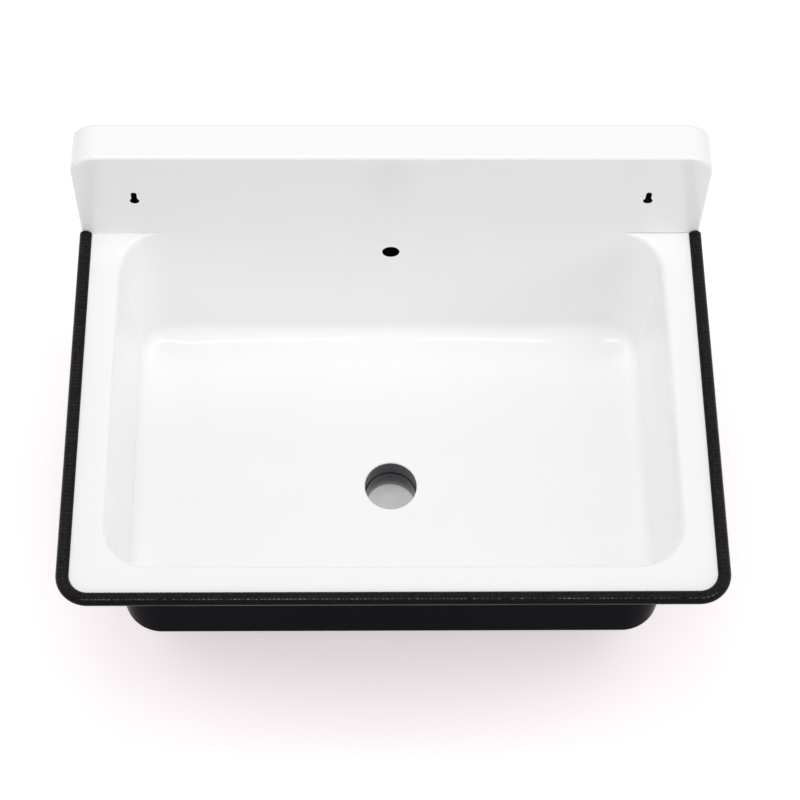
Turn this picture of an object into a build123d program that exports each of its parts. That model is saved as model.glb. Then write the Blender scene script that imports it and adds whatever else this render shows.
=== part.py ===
from build123d import *
import os
from math import cos, radians, sqrt, tan

# Wall-hung utility sink of enamelled steel sheet, in millimetres.
# The wall is the plane y = 0, the user stands at -Y, and z = 0 is the top of the rim.

# Enamelled sheet
sheet = 2.0                    # steel with enamel on both faces
weld_gap = 0.05                # between welded neighbours
level_tolerance = 0.01         # for picking faces and edges at one height

# Rim
rim_width = 600.0              # left edge to right edge of the sheet
rim_depth = 391.5              # upstand face to front edge of the sheet
rim_corner_radius = 28.0       # front corners, in plan

# Upstand
upstand_height = 124.5
upstand_depth = 38.0           # face to wall
upstand_corner_radius = 25.0   # top corners, seen from the front
upstand_bend_radius = 1.0      # inside of the fold round the face

# Bowl
side_ledge = 39.0              # sheet edge to opening, at both sides
front_ledge = 37.0             # sheet edge to opening, at the front
bowl_depth = 172.0
bowl_corner_radius = 41.0      # in plan, at the rim
wall_draft = 2.5               # degrees
floor_radius = 15.0            # inside, wall to floor
lip_bend_radius = 4.0          # underside, where the ledge rolls into the bowl

# Outlet
outlet_from_wall = 224.0
outlet_bore = 51.5
outlet_edge_radius = 1.5
dish_radius = 47.0
dish_depth = 3.0
dish_slope = 18.0              # width of the curved side of the dish
boss_wall = 6.0
boss_bore_length = 20.0
boss_socket_length = 8.0       # the neck sits this deep in the boss
neck_bore = 49.5
neck_wall = 3.0
neck_length = 24.0
neck_shoulder = 1.0            # step that stops the neck at the boss
neck_edge_radius = 1.2

# Overflow
overflow_diameter = 17.0
overflow_drop = 32.5           # rim to hole centre
overflow_head = 13.5           # hole centre to top of the box
overflow_box_width = 44.0
overflow_box_height = 48.0
overflow_box_depth = 24.0
overflow_box_flange = 5.0
overflow_box_radius = 4.0      # inside corners
nipple_diameter = 16.0
nipple_wall = 2.0
nipple_shoulder = 1.0          # step that stops the nipple at the box
nipple_reach = 28.0            # below the box

# Keyholes and hanger brackets
keyhole_inset = 56.0           # from the upstand's ends
keyhole_entry = 9.0            # lower, round part
keyhole_slot = 5.5             # upper, narrow part
keyhole_height = 55.0          # rim to centre of the round part
keyhole_rise = 11.0            # round part to end of the slot
hanger_width = 40.0
hanger_height = 58.0
hanger_flange = 12.0
hanger_passage = 24.0          # screw passage in the web
hanger_bend_radius = 4.0

# Support rail
rail_up = 28.0                 # above the rim
rail_down = 12.0               # below the rim

# Wall stops
stop_inset = 150.0             # from the rim's side edges
stop_width = 40.0
stop_top = 72.0                # below the rim
stop_flange = 15.0
stop_web = 30.0
stop_bend_radius = 4.0

# Edge trim
trim_diameter = 12.2           # round outside
trim_nose = 2.0                # plastic beyond the sheet's edge
trim_grip = 0.1                # clearance on the sheet
trim_tip_radius = 0.6          # where the slit opens on the ledge
trim_end_gap = 0.6             # to the upstand face
core_sheet = 0.6
core_gap = 1.0                 # plastic between sheet and core
core_nose_gap = 0.6            # the same at the sheet's edge
core_reach = 6.0               # core legs, from the sheet's edge inwards
core_bend_radius = 1.2         # inside of the core's two bends

# Places that follow from the sizes
face_y = -upstand_depth
back_y = face_y + sheet
front_y = face_y - rim_depth
opening_width = rim_width - 2 * side_ledge
opening_front_y = front_y + front_ledge
opening_length = face_y - opening_front_y
opening_y = (face_y + opening_front_y) / 2
draft = tan(radians(wall_draft))
lip_radius = lip_bend_radius + sheet
floor_z = -bowl_depth
dish_z = floor_z - dish_depth
boss_top_z = dish_z - sheet
neck_top_z = boss_top_z - boss_bore_length
outlet = Pos(0, -outlet_from_wall, 0)
neck_outside = neck_bore + 2 * neck_wall
neck_seat = neck_outside - 2 * neck_shoulder
nipple_seat = nipple_diameter - 2 * nipple_shoulder
keyhole_x = rim_width / 2 - keyhole_inset
stop_x = rim_width / 2 - stop_inset


def wall_back_y(drop):
    # Outer face of the bowl's back wall, at a drop below the rim
    return back_y - drop * draft


def bottom_face(solid):
    return solid.faces().sort_by(Axis.Z)[0]


def at_level(shapes, z):
    return shapes.filter_by_position(Axis.Z, z - level_tolerance, z + level_tolerance)


def bowl_volume(grow, depth):
    # Drafted bowl with a rounded base, grown outwards by a wall thickness
    mouth = RectangleRounded(
        opening_width + 2 * grow, opening_length + 2 * grow, bowl_corner_radius + grow
    )
    body = extrude(Pos(0, opening_y, 0) * mouth, amount=-depth, taper=wall_draft)
    # The base can't be rounder than the drafted corners it runs into
    corner = bowl_corner_radius + grow - depth * draft
    return fillet(bottom_face(body).edges(), min(floor_radius + grow, corner - sheet / 2))


def dish_volume(top_z):
    # Round dish whose side is two arcs, level at both ends
    foot = dish_radius - dish_slope
    middle = (dish_radius - dish_slope / 2, top_z - dish_depth / 2)
    base_z = top_z - dish_depth
    outline = Polyline((dish_radius, top_z), (0, top_z), (0, base_z), (foot, base_z))
    lower = TangentArc((foot, base_z), middle, tangent=(1, 0))
    upper = TangentArc((dish_radius, top_z), middle, tangent=(-1, 0))
    profile = make_face(Plane.XZ * Curve([outline, lower, upper]))
    return outlet * revolve(profile, Axis.Z)


def tube(outer, bore, top_z, length):
    ring = Circle(outer / 2) - Circle(bore / 2)
    return outlet * Pos(0, 0, top_z - length) * extrude(ring, amount=length)


def make_bowl():
    rim = Pos(0, front_y / 2, 0) * Rectangle(rim_width, -front_y)
    front_corners = rim.vertices().group_by(Axis.Y)[0]
    rim = extrude(fillet(front_corners, rim_corner_radius), amount=-sheet)
    shell = rim + bowl_volume(sheet, bowl_depth + sheet) - bowl_volume(0, bowl_depth)
    lip = shell.faces().sort_by(Axis.Z)[-1].inner_wires()[0]
    shell = fillet(lip.edges(), lip_radius)
    underside = at_level(shell.faces().filter_by(Plane.XY), -sheet)[0]
    shell = fillet(underside.inner_wires()[0].edges(), lip_bend_radius)
    # The sheet ends flush with the back of the upstand, and the back wall rises straight to it
    behind = Box(2 * rim_width, 2 * upstand_depth, 2 * upstand_height)
    shell = shell - Pos(0, back_y + upstand_depth, 0) * behind
    lip_bite = sqrt(2 * bowl_corner_radius * lip_radius - lip_radius**2)
    seam_half = opening_width / 2 - bowl_corner_radius + lip_bite
    seam_drop = lip_radius + 2 * sheet
    seam = Box(2 * seam_half, sheet, seam_drop)
    shell = shell + Pos(0, (face_y + back_y) / 2, -seam_drop / 2) * seam
    shell = shell + dish_volume(floor_z - sheet) - dish_volume(floor_z)
    shell = shell - outlet * Cylinder(outlet_bore / 2, 4 * bowl_depth)
    rims = at_level(shell.edges().filter_by(GeomType.CIRCLE), dish_z)
    shell = fillet(rims.sort_by(SortBy.RADIUS)[0], outlet_edge_radius)
    drill = Rot(X=90) * Cylinder(overflow_diameter / 2, 8 * sheet)
    return shell - Pos(0, face_y, -overflow_drop) * drill


def make_keyhole(depth):
    # Round entry below, narrow slot above, cut through the face
    entry = Circle(keyhole_entry / 2)
    slot = Pos(0, keyhole_rise / 2) * Rectangle(keyhole_slot, keyhole_rise)
    end = Pos(0, keyhole_rise) * Circle(keyhole_slot / 2)
    return extrude(Plane.XZ * (entry + slot + end), amount=depth, both=True)


def upstand_volume(inset):
    # Front view with rounded top corners, from the face back past the wall
    width = rim_width - 2 * inset
    height = upstand_height - inset
    view = Pos(0, height / 2) * Rectangle(width, height)
    view = fillet(view.vertices().group_by(Axis.Y)[-1], upstand_corner_radius - inset)
    body = extrude(Plane.XZ * view, amount=upstand_depth - inset)
    face = body.faces().sort_by(Axis.Y)[0]
    outline = [edge for edge in face.edges() if edge.center().Z > level_tolerance]
    return fillet(outline, upstand_bend_radius + sheet - inset)


def make_upstand():
    shell = upstand_volume(0) - upstand_volume(sheet)
    for x in (-keyhole_x, keyhole_x):
        shell = shell - Pos(x, face_y, keyhole_height) * make_keyhole(4 * sheet)
    return shell


def trim_profile():
    # Round section with a slit for the sheet: x runs inwards over the ledge, y runs up
    centre = trim_diameter / 2 - trim_nose
    slit = Rectangle(trim_diameter, sheet + 2 * trim_grip, align=(Align.MIN, Align.CENTER))
    section = Pos(centre, 0) * Circle(trim_diameter / 2) - Pos(-trim_grip, 0) * slit
    tips = section.vertices().group_by(Axis.X)[-1]
    return Pos(0, -sheet / 2) * fillet(tips, trim_tip_radius)


def core_strip(grow):
    # Outline that wraps the sheet's edge, grown outwards by the strip's thickness
    nose = core_nose_gap + grow
    height = sheet + 2 * core_gap + 2 * grow
    wrap = Pos((core_reach - nose) / 2, -sheet / 2) * Rectangle(core_reach + nose, height)
    return fillet(wrap.vertices().group_by(Axis.X)[0], core_bend_radius + grow)


def core_profile():
    return core_strip(core_sheet) - core_strip(0)


def along_rim(profile):
    # One run down the left edge, round both front corners and back up the right edge
    half = rim_width / 2
    end_y = face_y - trim_end_gap
    points = [(-half, end_y, 0), (-half, front_y, 0), (half, front_y, 0), (half, end_y, 0)]
    path = FilletPolyline(*points, radius=rim_corner_radius)
    start = Plane(origin=points[0], x_dir=(1, 0, 0), z_dir=(0, -1, 0))
    return sweep(start * profile, path=path)


def make_outlet_boss():
    seat_z = neck_top_z - boss_socket_length
    body = tube(outlet_bore + 2 * boss_wall, outlet_bore, boss_top_z, boss_top_z - seat_z)
    socket = Cylinder(neck_seat / 2 + weld_gap, 2 * boss_socket_length)
    return body - outlet * Pos(0, 0, seat_z) * socket


def make_outlet_neck():
    seat = boss_socket_length + weld_gap
    upper = tube(neck_seat, neck_bore, neck_top_z, seat)
    lower = tube(neck_outside, neck_bore, neck_top_z - seat, neck_length - seat)
    return fillet(bottom_face(upper + lower).edges(), neck_edge_radius)


def on_back_wall(drop):
    # Frame on the outer face of the back wall: Y leaves the wall, Z runs up along it
    return Pos(0, wall_back_y(drop), -drop) * Rot(X=-wall_draft)


box_top_drop = overflow_drop - overflow_head
box_frame = on_back_wall(box_top_drop)


def box_block(inset, flange=0.0):
    # Rounded block that stands on the back wall, open towards it
    width = overflow_box_width - 2 * inset + 2 * flange
    height = overflow_box_height - 2 * inset + 2 * flange
    corner = overflow_box_radius + sheet - inset + flange
    depth = sheet if flange else overflow_box_depth - inset
    view = Pos(0, -overflow_box_height / 2) * RectangleRounded(width, height, corner)
    return extrude(Plane.XZ * view, amount=-depth)


def nipple_axis():
    return Pos(0, overflow_box_depth / 2, -overflow_box_height)


def make_overflow_box():
    body = box_block(0) + box_block(0, overflow_box_flange) - box_block(sheet)
    hole = nipple_axis() * Cylinder(nipple_seat / 2 + weld_gap, 4 * sheet)
    return box_frame * (body - hole)


def make_overflow_nipple():
    bore = Circle(nipple_diameter / 2 - nipple_wall)
    stub = extrude(Circle(nipple_diameter / 2) - bore, amount=weld_gap - nipple_reach)
    seat = extrude(Circle(nipple_seat / 2) - bore, amount=sheet + weld_gap)
    return box_frame * nipple_axis() * Pos(0, 0, -weld_gap) * (stub + seat)


def hat_section(width, depth, flange, bend_radius):
    # Bent strip seen along its length: two flanges at y = 0, web at y = depth
    half = width / 2
    middle = sheet / 2
    line = FilletPolyline(
        (-half - flange, middle), (-half, middle), (-half, depth - middle),
        (half, depth - middle), (half, middle), (half + flange, middle),
        radius=bend_radius,
    )
    return trace(line, line_width=sheet)


def make_hanger(x):
    depth = upstand_depth - sheet
    section = hat_section(hanger_width, depth, hanger_flange, hanger_bend_radius)
    body = extrude(section, amount=hanger_height)
    passage_z = keyhole_height + keyhole_rise / 2
    hole = Pos(0, depth, hanger_height / 2) * Rot(X=90) * Cylinder(hanger_passage / 2, 4 * sheet)
    return Pos(x, back_y, passage_z - hanger_height / 2) * (body - hole)


def make_support_rail():
    length = rim_width - 2 * sheet - 2 * weld_gap
    upright = Pos(0, -sheet / 2, (rail_up - rail_down) / 2) * Box(length, sheet, rail_up + rail_down)
    shelf_front = wall_back_y(rail_down - sheet)
    shelf = Pos(0, shelf_front / 2, -rail_down + sheet / 2) * Box(length, -shelf_front, sheet)
    return upright + shelf


def make_wall_stop(x):
    # Strap seen from the side: two flanges on the drafted back wall, web on the wall
    web_top = stop_top + stop_flange
    web_end = web_top + stop_web
    drops = (stop_top, web_top, web_end, web_end + stop_flange)
    middle = sheet / 2
    on_wall = [(wall_back_y(drop) + middle / cos(radians(wall_draft)), -drop) for drop in drops]
    line = FilletPolyline(
        on_wall[0], on_wall[1], (-middle, -drops[1]), (-middle, -drops[2]), on_wall[2], on_wall[3],
        radius=stop_bend_radius,
    )
    strap = extrude(Plane.YZ * trace(line, line_width=sheet), amount=stop_width / 2, both=True)
    return Pos(x, 0, 0) * strap


edge_trim_core = along_rim(core_profile())

parts = {
    "bowl": make_bowl(),
    "upstand": make_upstand(),
    "edge_trim_cover": along_rim(trim_profile()) - edge_trim_core,
    "edge_trim_core": edge_trim_core,
    "outlet_boss": make_outlet_boss(),
    "outlet_neck": make_outlet_neck(),
    "overflow_box": make_overflow_box(),
    "overflow_nipple": make_overflow_nipple(),
    "hanger_bracket_left": make_hanger(-keyhole_x),
    "hanger_bracket_right": make_hanger(keyhole_x),
    "support_rail": make_support_rail(),
    "wall_stop_left": make_wall_stop(-stop_x),
    "wall_stop_right": make_wall_stop(stop_x),
}

os.makedirs("parts", exist_ok=True)
for name, shape in parts.items():
    export_step(shape, f"parts/{name}.step")
    box = shape.bounding_box()
    print(f"{name:22s} solids {len(shape.solids())}  volume {shape.volume:10.1f}  "
          f"z {box.min.Z:7.1f} to {box.max.Z:6.1f}  valid {shape.is_valid}")
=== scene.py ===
import math
import bpy
import bmesh
from mathutils import Matrix, Vector, noise
from mathutils.geometry import delaunay_2d_cdt


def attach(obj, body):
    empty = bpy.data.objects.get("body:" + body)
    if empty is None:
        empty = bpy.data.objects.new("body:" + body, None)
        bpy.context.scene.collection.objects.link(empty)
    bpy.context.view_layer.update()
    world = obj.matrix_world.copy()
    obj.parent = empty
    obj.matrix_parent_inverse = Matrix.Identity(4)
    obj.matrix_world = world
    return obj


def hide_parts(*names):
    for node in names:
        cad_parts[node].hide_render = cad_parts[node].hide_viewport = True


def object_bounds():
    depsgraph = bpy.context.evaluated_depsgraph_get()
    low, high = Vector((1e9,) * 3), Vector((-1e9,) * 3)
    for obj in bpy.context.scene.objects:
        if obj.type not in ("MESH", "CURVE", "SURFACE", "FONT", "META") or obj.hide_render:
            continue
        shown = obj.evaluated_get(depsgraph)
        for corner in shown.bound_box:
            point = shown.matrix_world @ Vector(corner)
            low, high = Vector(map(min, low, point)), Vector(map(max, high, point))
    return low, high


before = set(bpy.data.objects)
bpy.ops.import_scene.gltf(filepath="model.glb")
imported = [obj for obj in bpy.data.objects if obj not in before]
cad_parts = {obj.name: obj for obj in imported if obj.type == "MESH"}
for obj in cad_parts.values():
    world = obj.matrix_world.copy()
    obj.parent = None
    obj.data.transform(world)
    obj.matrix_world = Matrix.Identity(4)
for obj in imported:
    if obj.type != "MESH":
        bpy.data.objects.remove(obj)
cadLow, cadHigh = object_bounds()
mm = 0.001
print("frame loaded:", len(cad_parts), "nodes")


# small helpers for numbers and outlines
def clamp(t):
    return min(1.0, max(0.0, t))


def ease(t):
    t = clamp(t)
    return t * t * (3.0 - 2.0 * t)


def spread(count):
    return [i / count for i in range(count + 1)]


def direction(degrees):
    angle = math.radians(degrees)
    return Vector((math.cos(angle), math.sin(angle)))


def roundOver(radius, count):
    # a quarter-round edge in steps: how far it still stands off, and how far it has gone down
    turns = [t * math.pi / 2 for t in spread(count)]
    return [(radius * (1 - math.sin(turn)), radius * (1 - math.cos(turn))) for turn in turns]


def archPath(halfWide, footY, crownY, corner, step, bendSteps):
    # from the left foot over the crown to the right foot: places with their outward directions
    way = 1 if crownY > footY else -1
    cx, cy = halfWide - corner, crownY - way * corner
    path = []

    def straight(start, end, outward):
        start, end = Vector(start), Vector(end)
        for t in spread(max(1, round((end - start).length / step))):
            path.append((start.lerp(end, t), Vector(outward)))

    def bend(x, fromDegrees):
        for t in spread(bendSteps)[1:-1]:
            outward = direction(fromDegrees - way * 90.0 * t)
            path.append((Vector((x, cy)) + outward * corner, outward))

    straight((-halfWide, footY), (-halfWide, cy), (-1, 0))
    bend(-cx, 180.0)
    straight((-cx, crownY), (cx, crownY), (0, way))
    bend(cx, 90.0 * way)
    straight((halfWide, cy), (halfWide, footY), (1, 0))
    return path


def planView(co):
    return co.x, co.y


def frontView(co):
    return co.x, co.z


# mesh helpers
def newPiece(name, bm, materials, slotName, *nodes):
    bmesh.ops.recalc_face_normals(bm, faces=bm.faces)
    mesh = bpy.data.meshes.new(name)
    bm.to_mesh(mesh)
    bm.free()
    for material in materials:
        mesh.materials.append(material)
    piece = bpy.data.objects.new(name, mesh)
    bpy.context.scene.collection.objects.link(piece)
    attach(piece, "root")
    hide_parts(*nodes)
    return piece


def faceAreaNormals(piece):
    modifier = piece.modifiers.new("evenShading", "WEIGHTED_NORMAL")
    modifier.mode = "FACE_AREA"
    modifier.keep_sharp = True


def addFace(bm, verts, materialIndex=0, smooth=True):
    verts = [v for i, v in enumerate(verts) if v not in verts[:i]]
    if len(verts) < 3:
        return
    face = bm.faces.new(verts)
    face.material_index = materialIndex
    face.smooth = smooth


def skinRings(bm, rings, materialIndex=0, closed=True):
    # quads between neighbouring rings of equal length
    for ringA, ringB in zip(rings, rings[1:]):
        count = len(ringA)
        for i in range(count if closed else count - 1):
            j = (i + 1) % count
            addFace(bm, (ringA[i], ringA[j], ringB[j], ringB[i]), materialIndex)


def insideLoop(point, loop):
    # even-odd test of a point against a closed loop of points
    inside = False
    for a, b in zip(loop, loop[1:] + loop[:1]):
        if (a.y > point.y) != (b.y > point.y):
            inside ^= point.x < a.x + (b.x - a.x) * (point.y - a.y) / (b.y - a.y)
    return inside


def fillFlat(bm, loops, view, materialIndex=0):
    # triangles between an outer loop and the hole loops inside it, laid out in one view
    verts = [v for loop in loops for v in loop]
    points = [Vector(view(v.co)) for v in verts]
    edges, outlines, start = [], [], 0
    for loop in loops:
        edges += [(start + i, start + (i + 1) % len(loop)) for i in range(len(loop))]
        outlines.append(points[start:start + len(loop)])
        start += len(loop)
    triangles, origin = delaunay_2d_cdt(points, edges, [], 0, 1e-9)[2:4]
    for triangle in triangles:
        corners = [origin[k][0] for k in triangle]
        middle = sum((points[k] for k in corners), Vector((0.0, 0.0))) / 3
        inHole = any(insideLoop(middle, hole) for hole in outlines[1:])
        if insideLoop(middle, outlines[0]) and not inHole:
            addFace(bm, [verts[k] for k in corners], materialIndex, False)


# shader helpers
def newMaterial(name):
    material = bpy.data.materials.new(name)
    material.use_nodes = True
    tree = material.node_tree
    shader = tree.nodes["Principled BSDF"]
    return material, tree, shader


def newGroup(name, inputs, outputs):
    tree = bpy.data.node_groups.new(name, "ShaderNodeTree")
    for label, kind, default in inputs:
        socket = tree.interface.new_socket(name=label, in_out="INPUT", socket_type=kind)
        socket.default_value = default
    for label, kind in outputs:
        tree.interface.new_socket(name=label, in_out="OUTPUT", socket_type=kind)
    return tree, tree.nodes.new("NodeGroupInput"), tree.nodes.new("NodeGroupOutput")


def useGroup(tree, group, values):
    node = tree.nodes.new("ShaderNodeGroup")
    node.node_tree = group
    for label, value in values.items():
        node.inputs[label].default_value = value
    return node


def feed(tree, socket, value):
    # a number or a colour is set, another node's output is linked
    if isinstance(value, (int, float, tuple)):
        socket.default_value = value
    else:
        tree.links.new(value, socket)


def mathNode(tree, operation, first, second, limit=False):
    node = tree.nodes.new("ShaderNodeMath")
    node.operation = operation
    node.use_clamp = limit
    feed(tree, node.inputs[0], first)
    feed(tree, node.inputs[1], second)
    return node.outputs[0]


def noiseNode(tree, vector, scale, detail=2.0, roughness=0.5):
    node = tree.nodes.new("ShaderNodeTexNoise")
    node.inputs["Scale"].default_value = scale
    node.inputs["Detail"].default_value = detail
    node.inputs["Roughness"].default_value = roughness
    tree.links.new(vector, node.inputs["Vector"])
    return node.outputs[0]


def rangeNode(tree, value, fromRange, toRange):
    node = tree.nodes.new("ShaderNodeMapRange")
    tree.links.new(value, node.inputs["Value"])
    for label, limit in zip(("From Min", "From Max", "To Min", "To Max"), fromRange + toRange):
        feed(tree, node.inputs[label], limit)
    return node.outputs["Result"]


def mixColours(tree, factor, first, second):
    node = tree.nodes.new("ShaderNodeMix")
    node.data_type = "RGBA"
    tree.links.new(factor, node.inputs["Factor"])
    feed(tree, node.inputs[6], first)  # 6 and 7 are the sockets A and B for colours
    feed(tree, node.inputs[7], second)
    return node.outputs[2]


def bumpNode(tree, height, strength, distance):
    node = tree.nodes.new("ShaderNodeBump")
    node.inputs["Strength"].default_value = strength
    node.inputs["Distance"].default_value = distance
    tree.links.new(height, node.inputs["Height"])
    return node.outputs["Normal"]


def objectPlace(tree):
    return tree.nodes.new("ShaderNodeTexCoord").outputs["Object"]


def placeHeight(tree, place):
    split = tree.nodes.new("ShaderNodeSeparateXYZ")
    tree.links.new(place, split.inputs[0])
    return split.outputs["Z"]


# fired enamel: soft unevenness of tone, gloss and surface
flowLook = {"cloud": 9.0, "cloudDetail": 3.0, "cloudRange": (0.3, 0.7), "peel": 260.0, "peelDetail": 2.0,
            "peelShare": 0.12, "sag": 28.0, "sagDetail": 1.0, "lowGloss": 0.05, "highGloss": 0.12}


def makeEnamelFlow():
    f = flowLook
    group, inner, outer = newGroup(
        "enamelFlow",
        [("Position", "NodeSocketVector", (0.0, 0.0, 0.0)),
         ("Low Gloss", "NodeSocketFloat", f["lowGloss"]), ("High Gloss", "NodeSocketFloat", f["highGloss"])],
        [("Tone", "NodeSocketFloat"), ("Roughness", "NodeSocketFloat"), ("Height", "NodeSocketFloat")])
    place = inner.outputs["Position"]
    cloud = noiseNode(group, place, f["cloud"], f["cloudDetail"])
    peel = noiseNode(group, place, f["peel"], f["peelDetail"])
    sag = noiseNode(group, place, f["sag"], f["sagDetail"])
    group.links.new(cloud, outer.inputs["Tone"])
    glossRange = (inner.outputs["Low Gloss"], inner.outputs["High Gloss"])
    group.links.new(rangeNode(group, cloud, f["cloudRange"], glossRange), outer.inputs["Roughness"])
    height = mathNode(group, "ADD", mathNode(group, "MULTIPLY", peel, f["peelShare"]), sag)
    group.links.new(height, outer.inputs["Height"])
    return group


enamelFlow = makeEnamelFlow()

whiteCoat = {"base": (0.961, 0.960, 0.962, 1.0), "cloud": (0.943, 0.943, 0.945, 1.0),
             "lowGloss": 0.06, "highGloss": 0.11, "peel": 0.18, "peelDepth": 0.0004, "ior": 1.52}
# faceCoat's white is tinted a little warm: painted warm light from the front
faceCoat = dict(whiteCoat, base=(0.966, 0.955, 0.956, 1.0), cloud=(0.949, 0.939, 0.941, 1.0),
                lowGloss=0.14, highGloss=0.2)  # the upstand is a little less glossy
blackCoat = {"base": (0.0062, 0.0056, 0.0094, 1.0), "cloud": (0.0084, 0.0077, 0.0124, 1.0),
             "lowGloss": 0.10, "highGloss": 0.2, "peel": 0.25, "peelDepth": 0.0005, "specular": 0.002}
backCoat = dict(blackCoat, base=(0.013, 0.0127, 0.0148, 1.0), cloud=(0.021, 0.0203, 0.0235, 1.0),
                lowGloss=0.3, highGloss=0.4, specular=0.2)  # the pieces behind are less even
boreCoat = {"base": (0.031, 0.034, 0.043, 1.0), "cloud": (0.043, 0.047, 0.058, 1.0),
            "lowGloss": 0.16, "highGloss": 0.25, "peel": 0.3, "peelDepth": 0.0006, "specular": 0.32,
            # the next colour, bend and heights paint the floor's light onto the pipe's lower end
            "end": (0.66, 0.66, 0.70, 1.0), "floorLightBend": 2.2,
            "floorLightHeight": (-0.202, -0.2212)}  # heights in metres


def makeEnamel(name, coat):
    material, tree, shader = newMaterial(name)
    flow = useGroup(tree, enamelFlow, {"Low Gloss": coat["lowGloss"], "High Gloss": coat["highGloss"]})
    tree.links.new(objectPlace(tree), flow.inputs["Position"])
    colour = mixColours(tree, flow.outputs["Tone"], coat["base"], coat["cloud"])
    tree.links.new(colour, shader.inputs["Base Color"])
    tree.links.new(flow.outputs["Roughness"], shader.inputs["Roughness"])
    normal = bumpNode(tree, flow.outputs["Height"], coat["peel"], coat["peelDepth"])
    tree.links.new(normal, shader.inputs["Normal"])
    if "ior" in coat:
        shader.inputs["IOR"].default_value = coat["ior"]
    if "specular" in coat:
        shader.inputs["Specular IOR Level"].default_value = coat["specular"]
    return material


def paintFloorLight(material, coat):
    # painted light: the base colour turns pale towards the pipe's lower end, where light from the floor below
    # reaches the bore
    tree = material.node_tree
    target = tree.nodes["Principled BSDF"].inputs["Base Color"]
    floorLit = rangeNode(tree, placeHeight(tree, objectPlace(tree)), coat["floorLightHeight"], (0.0, 1.0))
    floorLit = mathNode(tree, "POWER", floorLit, coat["floorLightBend"])
    tree.links.new(mixColours(tree, floorLit, target.links[0].from_socket, coat["end"]), target)


whiteEnamel = makeEnamel("whiteEnamel", whiteCoat)
faceEnamel = makeEnamel("faceEnamel", faceCoat)
blackEnamel = makeEnamel("blackEnamel", blackCoat)
backEnamel = makeEnamel("backEnamel", backCoat)
boreEnamel = makeEnamel("boreEnamel", boreCoat)
paintFloorLight(boreEnamel, boreCoat)

# grained plastic: matt and speckled on top, smoother on the sides, where the colour is darkened as painted
# shade; heights in metres
trimCoat = {"deep": (0.003, 0.003, 0.0034, 1.0), "wearAndGlint": (0.016, 0.0155, 0.016, 1.0),
            "side": (0.0015, 0.0015, 0.002, 1.0), "sideHeight": (0.0012, 0.0042), "sideShare": (0.08, 1.0),
            # the next colour, grain and share paint the light dashes on the crest and ribs: painted
            # highlights
            "glint": (0.30, 0.29, 0.29, 1.0), "glintGrain": (0.3, 0.6), "glintShare": (0.35, 1.0),
            "cells": 620.0, "grain": 900.0, "grainDetail": 3.0, "grainShare": 0.5,
            "speckle": 480.0, "speckleDetail": 3.0, "speckleRough": 0.7, "speckleRange": (0.36, 0.66),
            "roughGrain": (0.3, 0.7), "rough": (0.32, 0.55), "bump": 0.6, "bumpDepth": 0.0004,
            "sideCloud": 6.0, "sideCloudRange": (0.4, 0.6), "sideRough": (0.10, 0.34), "specular": 0.06}


def makeTrimPlastic():
    c = trimCoat
    material, tree, shader = newMaterial("trimPlastic")
    place = objectPlace(tree)
    cells = tree.nodes.new("ShaderNodeTexVoronoi")
    cells.inputs["Scale"].default_value = c["cells"]
    tree.links.new(place, cells.inputs["Vector"])
    grain = noiseNode(tree, place, c["grain"], c["grainDetail"])
    speckle = noiseNode(tree, place, c["speckle"], c["speckleDetail"], c["speckleRough"])
    speckle = rangeNode(tree, speckle, c["speckleRange"], (0.0, 1.0))
    upper = rangeNode(tree, placeHeight(tree, place), c["sideHeight"], c["sideShare"])  # the top share; below it the colour turns darker as painted shade
    colour = mixColours(tree, speckle, c["deep"], c["wearAndGlint"])
    colour = mixColours(tree, upper, c["side"], colour)
    glintMask = tree.nodes.new("ShaderNodeAttribute")  # painted highlight: the light dashes on the crest and ribs, written on the mesh
    glintMask.attribute_name = "glintMask"
    glint = rangeNode(tree, grain, c["glintGrain"], c["glintShare"])
    glint = mathNode(tree, "MULTIPLY", glintMask.outputs["Fac"], glint)
    tree.links.new(mixColours(tree, glint, colour, c["glint"]), shader.inputs["Base Color"])
    rough = rangeNode(tree, grain, c["roughGrain"], c["rough"])
    smooth = noiseNode(tree, place, c["sideCloud"])
    smooth = rangeNode(tree, smooth, c["sideCloudRange"], c["sideRough"])
    rough = mathNode(tree, "MULTIPLY", rough, upper)
    smooth = mathNode(tree, "MULTIPLY", smooth, mathNode(tree, "SUBTRACT", 1.0, upper))
    tree.links.new(mathNode(tree, "ADD", rough, smooth), shader.inputs["Roughness"])
    fine = mathNode(tree, "MULTIPLY", grain, c["grainShare"])
    height = mathNode(tree, "ADD", cells.outputs["Distance"], fine)
    height = mathNode(tree, "MULTIPLY", height, upper)
    tree.links.new(bumpNode(tree, height, c["bump"], c["bumpDepth"]), shader.inputs["Normal"])
    shader.inputs["Specular IOR Level"].default_value = c["specular"]
    return material


trimPlastic = makeTrimPlastic()

# plain spring steel inside the trim
steelCoat = {"bright": (0.56, 0.56, 0.57, 1.0), "dark": (0.36, 0.36, 0.37, 1.0), "rough": 0.32,
             "streaks": 400.0, "streakDetail": 4.0, "bump": 0.1, "bumpDepth": 0.0002}


def makeTrimSteel():
    c = steelCoat
    material, tree, shader = newMaterial("trimSteel")
    streaks = noiseNode(tree, objectPlace(tree), c["streaks"], c["streakDetail"])
    tree.links.new(mixColours(tree, streaks, c["bright"], c["dark"]), shader.inputs["Base Color"])
    shader.inputs["Metallic"].default_value = 1.0
    shader.inputs["Roughness"].default_value = c["rough"]
    tree.links.new(bumpNode(tree, streaks, c["bump"], c["bumpDepth"]), shader.inputs["Normal"])
    return material


trimSteel = makeTrimSteel()
print("materials ready")

white, black = 0, 1  # material slots of an enamelled sheet

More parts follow.
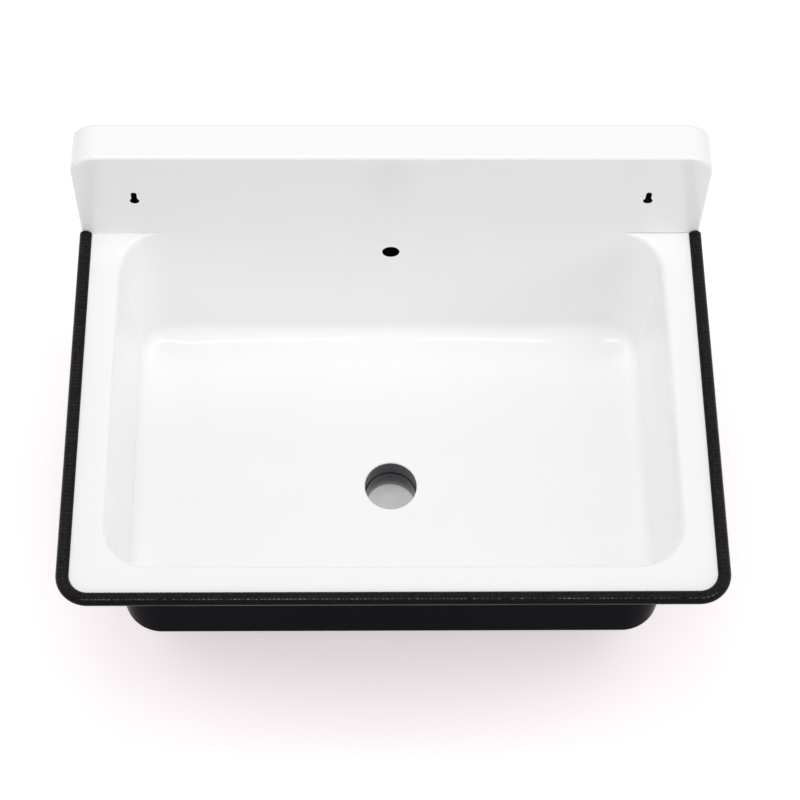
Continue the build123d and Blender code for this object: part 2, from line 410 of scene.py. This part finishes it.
# the pressed bowl: white inside and on the ledge, black outside and below, sizes in millimetres
bowl = {"halfWidth": 261.0, "frontY": -392.5, "backY": -38.0, "corner": 41.0,
        "rimHalf": 300.0, "rimFrontY": -429.5, "rimBackY": -36.0, "rimCorner": 28.0,
        "sheet": 2.0, "lip": 6.0, "lipLeast": 0.05, "lipRoom": 0.96, "rollLeast": 0.02,
        "depth": 172.0, "draft": 2.5, "draftStart": 12.0, "floorRadius": 15.0,
        "nearFall": 3.6, "nearReach": 14.5, "fall": 0.4, "drainY": -224.0,
        "dish": 47.0, "dishUnder": 1.0, "dishSlope": 18.0, "dishDepth": 3.0, "dishBend": 0.7,
        "hole": 25.75, "holeEdge": 1.5, "overflow": 8.5, "overflowDrop": 32.5, "overflowEdge": 0.4,
        "patchWide": 4.0, "patchTall": 7.0, "patchNear": 0.9, "cornerSteps": 24, "edgeStep": 9.0,
        "lipSteps": 9, "wallSteps": 12, "filletSteps": 12, "floorRings": 22, "floorBunch": 1.7,
        "dishSteps": 12, "holeSteps": 6, "mouthSteps": 4, "overflowSteps": 48}


def bowlLoop():
    # points round the opening with outward normals and their partners on the sheet's edge
    b = bowl
    loop = []
    cx = b["halfWidth"] - b["corner"]
    frontC, backC = b["frontY"] + b["corner"], b["backY"] - b["corner"]
    rimX, rimFrontC = b["rimHalf"] - b["rimCorner"], b["rimFrontY"] + b["rimCorner"]

    def straight(start, end, normal, rimStart, rimEnd):
        start, end, rimStart, rimEnd = map(Vector, (start, end, rimStart, rimEnd))
        steps = max(2, round((end - start).length / b["edgeStep"]))
        for t in spread(steps)[:-1]:
            loop.append((start.lerp(end, t), Vector(normal), rimStart.lerp(rimEnd, t)))

    def bend(centre, fromDegrees, rimAt):
        for t in spread(b["cornerSteps"])[:-1]:
            normal = direction(fromDegrees + 90.0 * t)
            loop.append((Vector(centre) + normal * b["corner"], normal, rimAt(t, normal)))

    frontY, backY, wide = b["frontY"], b["backY"], b["halfWidth"]
    rimFront, rimBack, rimWide = b["rimFrontY"], b["rimBackY"], b["rimHalf"]
    straight((0, frontY), (cx, frontY), (0, -1), (0, rimFront), (rimX, rimFront))
    bend((cx, frontC), -90, lambda t, n: Vector((rimX, rimFrontC)) + n * b["rimCorner"])
    straight((wide, frontC), (wide, backC), (1, 0), (rimWide, rimFrontC), (rimWide, rimBack))
    bend((cx, backC), 0, lambda t, n: Vector((rimWide + (cx - rimWide) * t, rimBack)))
    straight((cx, backY), (-cx, backY), (0, 1), (cx, rimBack), (-cx, rimBack))
    bend((-cx, backC), 90, lambda t, n: Vector((-cx + (cx - rimWide) * t, rimBack)))
    straight((-wide, backC), (-wide, frontC), (-1, 0), (-rimWide, rimBack), (-rimWide, rimFrontC))
    bend((-cx, frontC), 180, lambda t, n: Vector((-rimX, rimFrontC)) + n * b["rimCorner"])
    straight((-cx, frontY), (0, frontY), (0, -1), (-rimX, rimFront), (0, rimFront))
    return loop


def lipAt(normal):
    # radius of the rolled lip, which runs out at the upstand's face
    if normal.y <= 0.0:
        return bowl["lip"]
    room = bowl["lipRoom"] * bowl["corner"] * (1.0 / normal.y - 1.0)
    return max(bowl["lipLeast"], min(bowl["lip"], room))


def wallIn(depth):
    # how far the wall has come in at a depth; the draft starts gently under the lip
    start = bowl["draftStart"]
    slope = math.tan(math.radians(bowl["draft"]))
    return slope * (depth - start * (1.0 - math.exp(-depth / start)))


def cutOverflow(bm):
    # the overflow hole through the back wall, with a rounded mouth
    b = bowl

    def windowLoop(wallY):
        # takes out the faces round the hole and returns the edge of the gap in order
        wide, tall = b["overflow"] + b["patchWide"], b["overflow"] + b["patchTall"]
        gone = []
        for face in bm.faces:
            middle = face.calc_center_median() / mm
            near = abs(middle.x) < wide and abs(middle.z + b["overflowDrop"]) < tall
            if near and abs(middle.y - wallY) < b["patchNear"]:
                gone.append(face)
        edges = [e for f in gone for e in f.edges if sum(g in gone for g in e.link_faces) == 1]
        bmesh.ops.delete(bm, geom=gone, context="FACES_KEEP_BOUNDARY")
        walk, left = list(edges[0].verts), edges[1:]
        while left:
            onward = next(e for e in left if walk[-1] in e.verts)
            walk.append(onward.other_vert(walk[-1]))
            left.remove(onward)
        return walk[:-1]

    def circle(radius, yAt):
        made = []
        for t in spread(b["overflowSteps"])[:-1]:
            x = radius * math.cos(2 * math.pi * t)
            z = -b["overflowDrop"] + radius * math.sin(2 * math.pi * t)
            made.append(bm.verts.new((x * mm, yAt(z) * mm, z * mm)))
        return made

    def frontAt(z):
        return b["backY"] - wallIn(-z)

    def rearAt(z):
        return frontAt(z) + b["sheet"]

    frontGap = windowLoop(frontAt(-b["overflowDrop"]))
    rearGap = windowLoop(rearAt(-b["overflowDrop"]))
    mouth = []
    for grow, back in roundOver(b["overflowEdge"], b["mouthSteps"]):
        mouth.append(circle(b["overflow"] + grow, lambda z: frontAt(z) + back))
    rear = circle(b["overflow"], rearAt)
    fillFlat(bm, [frontGap, mouth[0]], frontView, white)
    fillFlat(bm, [rearGap, rear], frontView, black)
    skinRings(bm, mouth, white)
    skinRings(bm, [mouth[-1], rear], black)


def rimRing(bm, loop, height):
    return [bm.verts.new((rim.x * mm, rim.y * mm, height * mm)) for point, normal, rim in loop]


def offsetRing(bm, loop, offsetAt):
    # a closed ring at a distance inward and a height, worked out from each outward normal
    made = []
    for point, normal, rim in loop:
        inward, height = offsetAt(normal)
        flat = point - normal * inward
        made.append(bm.verts.new((flat.x * mm, flat.y * mm, height * mm)))
    return made


def floorRing(bm, loop, inset, t, depthAt, radius):
    # a closed ring at a share t of the way from an inset of the opening to a circle round the outlet
    drain = Vector((0.0, bowl["drainY"]))
    made = []
    for point, normal, rim in loop:
        start = point - normal * inset
        end = drain + (start - drain).normalized() * radius
        flat = start.lerp(end, t)
        depth = depthAt((flat - start).length)
        made.append(bm.verts.new((flat.x * mm, flat.y * mm, -depth * mm)))
    return made


def lipOffset(normal, sheet, t):
    # distance inward and height on the rolled lip, at a share t of its quarter turn
    lip, least, turn = lipAt(normal), bowl["rollLeast"], t * math.pi / 2
    if sheet and lip <= sheet:
        return -sheet, -sheet - least * t
    roll = max(lip - sheet, least)
    return -lip + roll * math.sin(turn), -lip + roll * math.cos(turn)


def bowlSide(bm, loop, sheet, dishWide):
    # rings from the ledge down to the hole, at a depth of sheet behind the white face
    b = bowl
    rings = []
    for t in spread(b["lipSteps"]):
        rings.append(offsetRing(bm, loop, lambda normal: lipOffset(normal, sheet, t)))
    # the fillet runs out into the floor in a long tail
    draft, tilt = math.radians(b["draft"]), math.atan(b["nearFall"] / b["nearReach"])
    base = b["depth"] - (b["nearFall"] + b["fall"]) / 2 + sheet
    radius = b["floorRadius"] + sheet
    centreDepth = base - radius * math.cos(tilt)
    centreIn = wallIn(centreDepth) - sheet + radius / math.cos(draft)
    bottom = centreDepth + radius * math.sin(draft)
    for t in spread(b["wallSteps"])[1:-1]:
        depth = b["lip"] + (bottom - b["lip"]) * t
        rings.append(offsetRing(bm, loop, lambda normal: (wallIn(depth) - sheet, -depth)))
    for t in spread(b["filletSteps"]):
        turn = draft + (math.pi / 2 - tilt - draft) * t
        inset = centreIn - radius * math.cos(turn)
        depth = centreDepth + radius * math.sin(turn)
        rings.append(offsetRing(bm, loop, lambda normal: (inset, -depth)))
    edgeIn = inset  # the floor starts where the fillet ends

    def floorDepth(run):
        return base + b["nearFall"] * (1 - math.exp(-run / b["nearReach"])) + b["fall"] * ease(t)

    for t in spread(b["floorRings"])[1:]:
        t = t ** b["floorBunch"]  # closer rings near the fillet
        rings.append(floorRing(bm, loop, edgeIn, t, floorDepth, dishWide))
    low = b["depth"] + b["dishDepth"] + sheet
    top = base + b["nearFall"] + b["fall"]
    for t in spread(b["dishSteps"])[1:]:
        depth = top + (low - top) * ease(t ** b["dishBend"])
        rings.append(floorRing(bm, loop, edgeIn, 1.0, lambda run: depth, dishWide - b["dishSlope"] * t))
    return rings, low


def makeBowl():
    b = bowl
    bm = bmesh.new()
    loop = bowlLoop()
    inner, low = bowlSide(bm, loop, 0.0, b["dish"])
    for grow, drop in roundOver(b["holeEdge"], b["holeSteps"]):
        inner.append(floorRing(bm, loop, 0.0, 1.0, lambda run: low + drop, b["hole"] + grow))
    outside, under = bowlSide(bm, loop, b["sheet"], b["dish"] + b["dishUnder"])
    outside.append(floorRing(bm, loop, 0.0, 1.0, lambda run: under, b["hole"]))
    topEdge, underEdge = rimRing(bm, loop, 0.0), rimRing(bm, loop, -b["sheet"])
    skinRings(bm, [topEdge, inner[0]], white)
    skinRings(bm, inner, white)
    skinRings(bm, [inner[-1], outside[-1]], black)
    skinRings(bm, outside, black)
    skinRings(bm, [underEdge, outside[0]], black)
    skinRings(bm, [topEdge, underEdge], black)
    for cut in (set(topEdge), set(underEdge)):  # the sheet's cut edge stays crisp
        for line in bm.edges:
            if line.verts[0] in cut and line.verts[1] in cut:
                line.smooth = False
    cutOverflow(bm)
    strays = [v for v in bm.verts if not v.link_faces]
    bmesh.ops.delete(bm, geom=strays, context="VERTS")
    piece = newPiece("bowlPressing", bm, [whiteEnamel, blackEnamel], "bowl_enamel", "bowl")
    faceAreaNormals(piece)


makeBowl()
print("bowl ready")

# the hollow upstand: face, fold, return to the wall and two keyholes
upstand = {"halfWidth": bowl["rimHalf"], "height": 124.5, "faceY": bowl["backY"], "wallY": 0.0,
           "corner": 25.0, "fold": 3.0, "sheet": bowl["sheet"], "rearEdge": 0.42,
           "keyholeX": 244.0, "keyholeZ": 55.0, "entry": 4.5, "slot": 2.75, "rise": 11.0, "keyholeEdge": 0.35,
           "jointFrom": 222.0, "jointFade": 12.0, "jointEnd": 4.0, "jointEndFade": 6.0,
           "jointRight": 0.8, "jointLeft": 0.3, "jointMean": 0.75, "jointSway": 0.9, "jointGrain": 0.13,
           "jointSeed": (5.2, 1.0), "jointSteps": 150, "cornerSteps": 24, "edgeStep": 20.0, "foldSteps": 8,
           "innerSteps": 4, "rearSteps": 3, "slotSteps": 10, "entrySteps": 28, "mouthSteps": 3}


def jointGap(x):
    # height of the fine uneven joint under the face, which opens over the side ledges only
    u = upstand
    over = ease((abs(x) - u["jointFrom"]) / u["jointFade"])
    over *= ease((u["halfWidth"] - u["jointEnd"] - abs(x)) / u["jointEndFade"])
    sway = u["jointMean"] + u["jointSway"] * noise.noise(Vector((x * u["jointGrain"], *u["jointSeed"])))
    return max(0.0, (u["jointRight"] if x > 0 else u["jointLeft"]) * over * sway)


def keyholeOutline(x, grow):
    # from the slot's right foot round its end and back round the entry
    u = upstand
    slot, entry = u["slot"] + grow, u["entry"] + grow
    neck = math.asin(slot / entry)
    points = []
    for t in spread(u["slotSteps"]):
        angle = math.pi * t
        points.append((x + slot * math.cos(angle), u["keyholeZ"] + u["rise"] + slot * math.sin(angle)))
    for t in spread(u["entrySteps"]):
        angle = math.pi / 2 + neck + (2 * math.pi - 2 * neck) * t
        points.append((x + entry * math.cos(angle), u["keyholeZ"] + entry * math.sin(angle)))
    return points


def makeUpstand():
    u = upstand
    bm = bmesh.new()
    face, wall, sheet = u["faceY"], u["wallY"], u["sheet"]
    outline = archPath(u["halfWidth"], 0.0, u["height"], u["corner"], u["edgeStep"], u["cornerSteps"])

    def ring(inset, y):
        made = []
        for place, outward in outline:
            flat = place - outward * inset
            made.append(bm.verts.new((flat.x * mm, y * mm, flat.y * mm)))
        return made

    def keyhole(x, grow, y):
        return [bm.verts.new((px * mm, y * mm, pz * mm)) for px, pz in keyholeOutline(x, grow)]

    outer = [ring(inset, face + back) for inset, back in roundOver(u["fold"], u["foldSteps"])]
    outer.append(ring(0.0, (face + wall) / 2))
    outer.append(ring(0.0, wall - u["rearEdge"]))
    rounded = [outer[-1]]  # the white coat ends at the wall edge, which shows the dark ground coat
    for left, inset in roundOver(u["rearEdge"], u["rearSteps"])[1:]:
        rounded.append(ring(inset, wall - left))
    innerFold = roundOver(u["fold"] - sheet, u["innerSteps"])
    inner = [ring(sheet + inset, face + sheet + back) for inset, back in innerFold]
    inner.append(ring(sheet, wall))
    skinRings(bm, outer, white, closed=False)
    skinRings(bm, inner, black, closed=False)
    skinRings(bm, rounded + [inner[-1]], black, closed=False)
    foot = []  # the face's lower edge, from right to left
    for k in range(1, u["jointSteps"]):
        x = (u["halfWidth"] - u["fold"]) * (1.0 - 2 * k / u["jointSteps"])
        foot.append(bm.verts.new((x * mm, face * mm, jointGap(x) * mm)))
    front, behind = [outer[0] + foot], [inner[0]]
    for x in (-u["keyholeX"], u["keyholeX"]):
        edge = roundOver(u["keyholeEdge"], u["mouthSteps"])
        mouth = [keyhole(x, grow, face + back) for grow, back in edge]
        rear = keyhole(x, 0.0, face + sheet)
        skinRings(bm, mouth, white)
        skinRings(bm, [mouth[-1], rear], black)
        front.append(mouth[0])
        behind.append(rear)
    fillFlat(bm, front, frontView, white)
    fillFlat(bm, behind, frontView, black)
    # the foot, where the sheet stands on the ledge
    around = outer + rounded[1:]
    footOut = [r[0] for r in around] + [r[-1] for r in reversed(around)]
    footIn = [r[0] for r in inner] + [r[-1] for r in reversed(inner)]
    fillFlat(bm, [footOut + list(reversed(footIn))], planView, black)
    piece = newPiece("upstandPressing", bm, [faceEnamel, blackEnamel], "upstand_enamel", "upstand")
    faceAreaNormals(piece)


makeUpstand()
print("upstand ready")

# the clip-on edge trim: round, slit for the sheet, grained plastic
# angles round it are in degrees, from the slit over the top
trim = {"diameter": 12.2, "nose": 2.0, "sheet": bowl["sheet"], "grip": 0.1, "endY": -38.6,
        "rimHalf": bowl["rimHalf"], "rimFrontY": bowl["rimFrontY"], "rimCorner": bowl["rimCorner"],
        "around": 40, "step": 0.9, "ribPitch": 3.85, "ribDepth": 0.10, "ribSway": 2.2, "swayGrain": 0.11,
        "grainDepth": 0.16, "grainScale": 0.8, "grainSway": 0.8,
        "underFrom": 150.0, "underFade": 30.0, "underSmooth": 0.85,
        "crestAt": 118.0, "crestWide": 3.4, "crestHeight": 0.25,
        "crestClear": 8.5, "crestStep": 2.4, "crestSteps": 3,
        "glintMean": 0.5, "glintSway": 0.9, "glintLong": 0.045, "glintShort": 0.24,
        "swaySeed": 1.3, "longSeed": 3.7, "shortSeed": 8.1,
        "dashLeast": 0.18, "dashFrom": 1.8, "dashFall": 2.4, "frontFrom": 0.7, "frontFade": 0.28,
        "ladder": 0.050, "ladderFront": 0.042, "ladderMore": 0.3,
        "ladderFrom": 40.0, "ladderTo": 165.0, "ladderFade": 25.0}


def trimTurns(mouth):
    # angles of the profile's points, closer together where the dashes are
    t = trim
    turns = [mouth + (360.0 - 2 * mouth) * a for a in spread(t["around"])]
    turns = [a for a in turns if abs(a - t["crestAt"]) > t["crestClear"]]
    fine = range(-t["crestSteps"], t["crestSteps"] + 1)
    return sorted(turns + [t["crestAt"] + t["crestStep"] * n for n in fine])


def trimRibAndGlint(run, inward):
    # at one place along the trim: its rib, and how strong the painted highlights on its crest and its ribs
    # are
    t = trim

    def along(grain, seed):
        return noise.noise(Vector((run * grain, seed, 0.0)))

    sway = t["ribSway"] * along(t["swayGrain"], t["swaySeed"])
    rib = 0.5 - 0.5 * math.cos(2 * math.pi * run / t["ribPitch"] + sway)
    patches = along(t["glintLong"], t["longSeed"]) + along(t["glintShort"], t["shortSeed"])
    wearAndGlint = t["glintMean"] + t["glintSway"] * patches
    dash = t["dashLeast"] + (1.0 - t["dashLeast"]) * ease(t["dashFrom"] - t["dashFall"] * rib)
    front = ease((inward.y - t["frontFrom"]) / t["frontFade"])
    frontGlint = front * dash * clamp(wearAndGlint)  # painted highlight on the crest, at the front only
    ladder = t["ladder"] - t["ladderFront"] * front  # painted highlight on the ribs, shown mostly on the sides
    ladder *= (1.0 - rib) ** 2 * clamp(t["ladderMore"] + wearAndGlint)
    return rib, frontGlint, ladder


def makeTrim():
    t = trim
    bm = bmesh.new()
    glintMask = bm.verts.layers.float.new("glintMask")
    radius, slitHalf = t["diameter"] / 2, t["sheet"] / 2 + t["grip"]
    inset = radius - t["nose"]
    corner = t["rimCorner"] - inset
    bendSteps = round(corner * math.pi / 2 / t["step"])
    path = archPath(t["rimHalf"] - inset, t["endY"], t["rimFrontY"] + inset, corner, t["step"], bendSteps)
    turns = trimTurns(math.degrees(math.asin(slitHalf / radius)))

    def trimVert(place, inward, out, height):
        spot = place + inward * out
        return bm.verts.new((spot.x * mm, spot.y * mm, (height - t["sheet"] / 2) * mm))

    rings, run, last = [], 0.0, path[0][0]
    for place, outward in path:
        run += (place - last).length
        last, inward = place, -outward
        rib, frontGlint, ladder = trimRibAndGlint(run, inward)
        ring = []
        for a in turns:
            flat, rise = direction(a)
            spot = place + inward * (flat * radius)
            spot = Vector((spot.x, spot.y, radius * rise)) * t["grainScale"]
            grain = clamp(0.5 + t["grainSway"] * noise.noise(spot))
            under = ease((a - t["underFrom"]) / t["underFade"])  # the underside is smoother
            dent = (t["ribDepth"] * rib + t["grainDepth"] * grain) * (1.0 - t["underSmooth"] * under)
            # painted highlight on the crest, which also stands a little proud
            glint = frontGlint * math.exp(-((a - t["crestAt"]) / t["crestWide"]) ** 2)
            r = min(radius, radius - dent + t["crestHeight"] * glint)
            if a in (turns[0], turns[-1]):
                r = radius
            ring.append(trimVert(place, inward, flat * r, r * rise))
            shown = ease((a - t["ladderFrom"]) / t["ladderFade"])
            shown *= ease((t["ladderTo"] - a) / t["ladderFade"])
            ring[-1][glintMask] = glint + ladder * shown
        for height in (-slitHalf, slitHalf):  # the slit's floor
            ring.append(trimVert(place, inward, -inset - t["grip"], height))
        rings.append(ring)
    skinRings(bm, rings)
    for end in (rings[0], rings[-1]):
        addFace(bm, end, smooth=False)
    newPiece("edgeTrimSleeve", bm, [trimPlastic], "trim_plastic", "edge_trim_cover")


makeTrim()
print("trim ready")

# the pieces that keep their CAD shape take finished materials
finishes = {"edge_trim_core": trimSteel, "outlet_boss": boreEnamel, "outlet_neck": boreEnamel}
for nodeName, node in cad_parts.items():
    if nodeName not in ("bowl", "upstand", "edge_trim_cover"):
        node.data.materials.clear()
        node.data.materials.append(finishes.get(nodeName, backEnamel))

# floor, light and camera, in metres and watts
# ambient lights the sink, and seen is the white backdrop that the camera and reflections show
studio = {"floorZ": cadLow.z, "floorSize": 2.6, "floorColour": (0.885, 0.90, 0.895, 1.0), "floorRough": 0.9,
          # the floor's glow is pinkish, which shows only in its shadow: painted shadow colour
          "floorLift": (0.461, 0.401, 0.419, 1.0), "shadeReach": 0.045, "shadeSamples": 16,
          "ambient": (0.606, 0.606, 0.606, 1.0), "seen": (1.0, 1.0, 1.0, 1.0)}
lamps = {"overhead": {"place": (-0.12, 0.06, 1.65), "aim": (-0.12, 0.06, 0.0), "size": (0.86, 0.3),
                      "power": 4.6, "colour": (1.0, 1.0, 0.97)},
         "leftHigh": {"place": (-0.85, -0.45, 1.75), "aim": (0.15, -0.22, -0.17), "size": (0.7, 0.7),
                      "power": 2.3, "colour": (0.95, 1.0, 1.03)},
         "rightHigh": {"place": (0.85, -0.45, 1.75), "aim": (-0.15, -0.22, -0.17), "size": (0.7, 0.7),
                       "power": 3.6, "colour": (1.0, 1.0, 1.0)},
         "leftSoft": {"place": (-1.5, -0.3, 1.3), "aim": (0.0, -0.22, -0.1), "size": (1.2, 0.8),
                      "power": 2.1, "colour": (0.94, 0.98, 1.06)},
         "rightSoft": {"place": (1.5, -0.3, 1.3), "aim": (0.0, -0.22, -0.1), "size": (1.2, 0.8),
                       "power": 2.0, "colour": (1.0, 1.0, 1.03)},
         "frontRight": {"place": (1.6, -2.2, 0.9), "aim": (0.0, -0.05, 0.05), "size": (1.0, 0.8),
                        "power": 6.4, "colour": (1.06, 0.98, 0.95)}}


def seenDirectly(tree):
    rays = tree.nodes.new("ShaderNodeLightPath")
    both = mathNode(tree, "ADD", rays.outputs["Is Camera Ray"], rays.outputs["Is Glossy Ray"])
    return mathNode(tree, "ADD", both, rays.outputs["Is Transmission Ray"], True)


def makeFloor():
    s = studio
    material, tree, shader = newMaterial("paleFloor")
    shader.inputs["Base Color"].default_value = s["floorColour"]
    shader.inputs["Roughness"].default_value = s["floorRough"]
    shader.inputs["Specular IOR Level"].default_value = 0.0
    shader.inputs["Emission Color"].default_value = s["floorLift"]
    # painted shade: the floor's glow fades close to the sink and inside its outlet
    sky = tree.nodes.new("ShaderNodeAmbientOcclusion")
    sky.samples = s["shadeSamples"]
    sky.inputs["Distance"].default_value = s["shadeReach"]
    lift = mathNode(tree, "MULTIPLY", seenDirectly(tree), sky.outputs["AO"])
    tree.links.new(lift, shader.inputs["Emission Strength"])
    half = s["floorSize"] / 2
    corners = [(-half, -half), (half, -half), (half, half), (-half, half)]
    mesh = bpy.data.meshes.new("floor")
    mesh.from_pydata([(x, y, s["floorZ"]) for x, y in corners], [], [(0, 1, 2, 3)])
    mesh.materials.append(material)
    floor = bpy.data.objects.new("floor", mesh)
    bpy.context.scene.collection.objects.link(floor)


def makeLight():
    world = bpy.data.worlds.new("studio")
    bpy.context.scene.world = world
    world.use_nodes = True
    tree = world.node_tree
    colour = mixColours(tree, seenDirectly(tree), studio["ambient"], studio["seen"])
    tree.links.new(colour, tree.nodes["Background"].inputs["Color"])
    for name, values in lamps.items():
        lamp = bpy.data.lights.new(name, "AREA")
        lamp.shape = "RECTANGLE"
        lamp.size, lamp.size_y = values["size"]
        lamp.energy = values["power"]
        lamp.color = values["colour"]
        holder = bpy.data.objects.new(name, lamp)
        holder.location = values["place"]
        aim = Vector(values["aim"]) - holder.location
        holder.rotation_euler = aim.to_track_quat("-Z", "Y").to_euler()
        bpy.context.scene.collection.objects.link(holder)


makeFloor()
makeLight()

# the photo's camera: angles in degrees, focal length and frame in pixels
photoView = {"place": (-0.02654, -1.24915, 1.82949), "pitch": 60.723, "yaw": 1.870, "roll": 1.538,
             "focal": 2251.5, "frame": 800.0, "sensor": 36.0}


def makeCamera():
    p = photoView
    pitch, yaw, roll = (math.radians(p[k]) for k in ("pitch", "yaw", "roll"))
    forward = Vector((math.sin(yaw) * math.cos(pitch), math.cos(yaw) * math.cos(pitch), -math.sin(pitch)))
    right = Vector((math.cos(yaw), -math.sin(yaw), 0.0))
    up = right.cross(forward)
    across = right * math.cos(roll) + up * math.sin(roll)
    above = up * math.cos(roll) - right * math.sin(roll)
    data = bpy.data.cameras.new("photoView")
    data.sensor_fit = "HORIZONTAL"
    data.sensor_width = p["sensor"]
    data.lens = p["sensor"] * p["focal"] / p["frame"]
    camera = bpy.data.objects.new("photoView", data)
    turn = Matrix((across, above, -forward)).transposed().to_4x4()
    camera.matrix_world = Matrix.Translation(Vector(p["place"])) @ turn
    bpy.context.scene.collection.objects.link(camera)
    bpy.context.scene.camera = camera


makeCamera()
bpy.context.scene.view_settings.view_transform = "Standard"
bpy.context.scene.cycles.blur_glossy = 0.0  # keeps the light that the glossy bends gather on the floor
print("stage ready")
